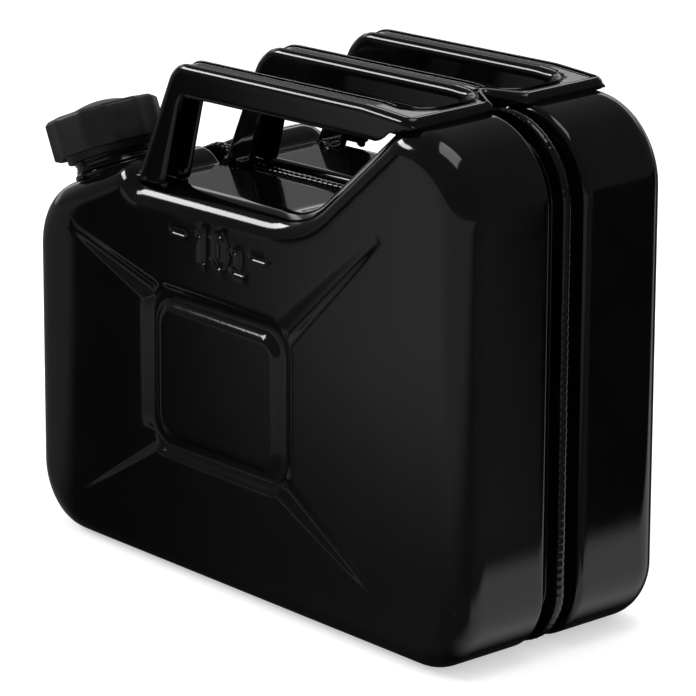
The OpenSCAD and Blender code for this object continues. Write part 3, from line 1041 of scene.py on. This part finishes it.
class FUELCAN_OT_handle(bpy.types.Operator):
    """Builds the carrying handle and its weld lumps"""
    bl_idname = "fuel_can.handle"
    bl_label = "Carrying handle"

    def execute(self, context):
        finish = enamel("handle_enamel", finish_look().enamel_colour, 0.00006, 0.000014, 1.2)
        made, feet, lines = build_handle(fittings())
        paint(made, finish)
        paint(build_foot_welds(feet, lines), finish)
        return {"FINISHED"}


class FUELCAN_OT_neck(bpy.types.Operator):
    """Builds the threaded neck and gives the gasket its rubber"""
    bl_idname = "fuel_can.neck"
    bl_label = "Neck and gasket"

    def execute(self, context):
        look = finish_look()
        paint(build_neck(fittings()), enamel("neck_enamel", look.enamel_colour, 0.00004, 0.00002, 0.8))
        paint(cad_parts["cap_gasket"], rubber("gasket_rubber", look.rubber_colour))
        return {"FINISHED"}


class FUELCAN_OT_cap(bpy.types.Operator):
    """Builds the screw cap"""
    bl_idname = "fuel_can.cap"
    bl_label = "Screw cap"

    def execute(self, context):
        paint(build_cap(fittings()), cap_plastic("satin_plastic", finish_look().cap_colour))
        return {"FINISHED"}


class FUELCAN_OT_stage(bpy.types.Operator):
    """Sets up the floor, the lamps and the camera"""
    bl_idname = "fuel_can.stage"
    bl_label = "Studio stage"

    def execute(self, context):
        look = finish_look()
        corners = [(sx * FLOOR_REACH, sy * FLOOR_REACH, 0) for sx, sy in ((-1, -1), (1, -1), (1, 1), (-1, 1))]
        floor = new_object("studio_floor", corners, [(0, 1, 2, 3)], None)
        paint(floor, floor_finish("pale_floor", look))
        world_light(look)
        for lamp in LAMPS:
            area_lamp(*lamp)
        data = bpy.data.cameras.new("photo_camera")
        data.lens, data.sensor_width = LENS, 36.0
        data.clip_start, data.clip_end = 0.1, 60.0
        camera = bpy.data.objects.new("photo_camera", data)
        turn = Matrix((CAMERA_RIGHT, CAMERA_UP, CAMERA_BACK)).transposed().to_4x4()
        camera.matrix_world = Matrix.Translation(Vector(CAMERA_PLACE)) @ turn
        context.scene.collection.objects.link(camera)
        context.scene.camera = camera
        context.scene.view_settings.view_transform = "Standard"
        return {"FINISHED"}


class FUELCAN_PT_panel(bpy.types.Panel):
    """Fuel can tools"""
    bl_label = "Fuel can"
    bl_idname = "FUELCAN_PT_panel"
    bl_space_type = "VIEW_3D"
    bl_region_type = "UI"
    bl_category = "Fuel can"

    def draw(self, context):
        for group in (body_shape(), fittings(), finish_look()):
            column = self.layout.column(align=True)
            for key in group.__annotations__:
                column.prop(group, key)
        for step in STEPS:
            self.layout.operator(step.bl_idname)


STEPS = (
    FUELCAN_OT_halves, FUELCAN_OT_seam, FUELCAN_OT_handle, FUELCAN_OT_neck, FUELCAN_OT_cap, FUELCAN_OT_stage,
)
GROUPS = {
    "fuel_can_body": FuelCanBody, "fuel_can_fittings": FuelCanFittings, "fuel_can_finish": FuelCanFinish,
}


def register():
    for made in (*GROUPS.values(), *STEPS, FUELCAN_PT_panel):
        bpy.utils.register_class(made)
    for name, group in GROUPS.items():
        setattr(bpy.types.Scene, name, bpy.props.PointerProperty(type=group))


def unregister():
    for name in GROUPS:
        delattr(bpy.types.Scene, name)
    for made in reversed((*GROUPS.values(), *STEPS, FUELCAN_PT_panel)):
        bpy.utils.unregister_class(made)


def main():
    register()
    bpy.ops.fuel_can.halves()
    bpy.ops.fuel_can.seam()
    bpy.ops.fuel_can.handle()
    bpy.ops.fuel_can.neck()
    bpy.ops.fuel_can.cap()
    bpy.ops.fuel_can.stage()
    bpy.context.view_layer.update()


if __name__ == "__main__":
    main()
